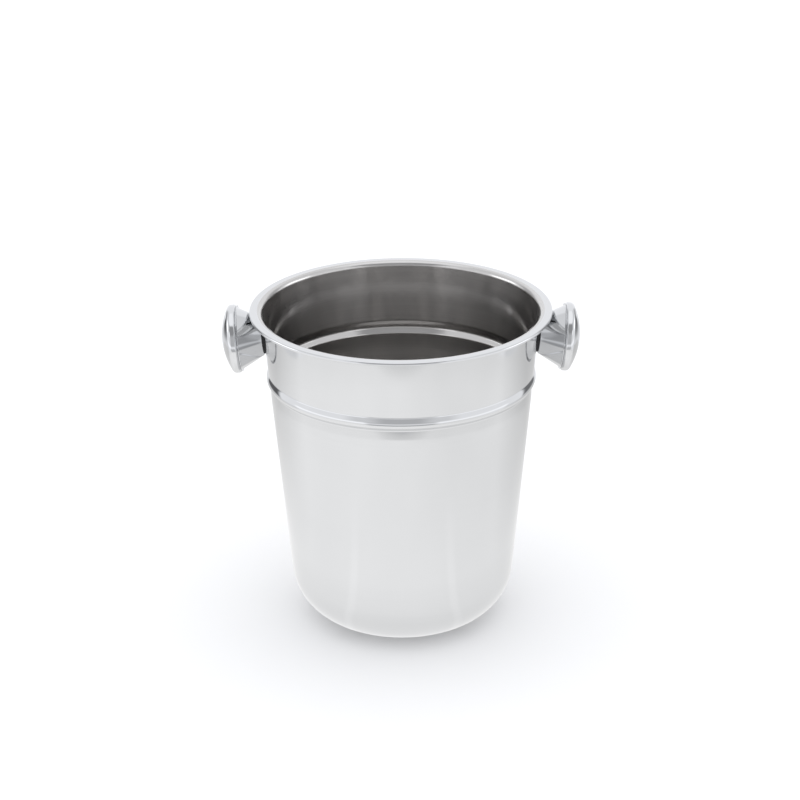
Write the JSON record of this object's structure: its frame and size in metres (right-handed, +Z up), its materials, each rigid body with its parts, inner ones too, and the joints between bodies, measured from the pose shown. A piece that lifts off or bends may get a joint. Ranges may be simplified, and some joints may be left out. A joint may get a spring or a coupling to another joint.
{
  "type": "champagne bucket",
  "caption": "Polished steel champagne bucket: tapered body with a stacking bead, short flared collar, flat folded rim and a mushroom knob on each side.",
  "frame": {"origin": "centre of the bucket on the floor that it stands on", "axes": "+Z up the bucket's axis; the two knobs lie along X"},
  "size_m": [0.2372, 0.2, 0.2224],
  "materials": {
    "bucket_steel": "mirror polished outside, fine lathe-brushed inside",
    "polished_steel": "mirror polished",
    "plain_steel": "machined",
    "rubber": "matt black"
  },
  "bodies": {
    "root": {"bucket_shell": "bucket_steel", "left_knob_neck": "polished_steel", "left_knob_cap": "polished_steel", "left_knob_nut": "plain_steel", "left_foot_seal": "rubber", "left_inner_seal": "rubber", "left_washer": "plain_steel", "left_screw": "plain_steel", "right_knob_neck": "polished_steel", "right_knob_cap": "polished_steel", "right_knob_nut": "plain_steel", "right_foot_seal": "rubber", "right_inner_seal": "rubber", "right_washer": "plain_steel", "right_screw": "plain_steel"}
  },
  "joints": []
}
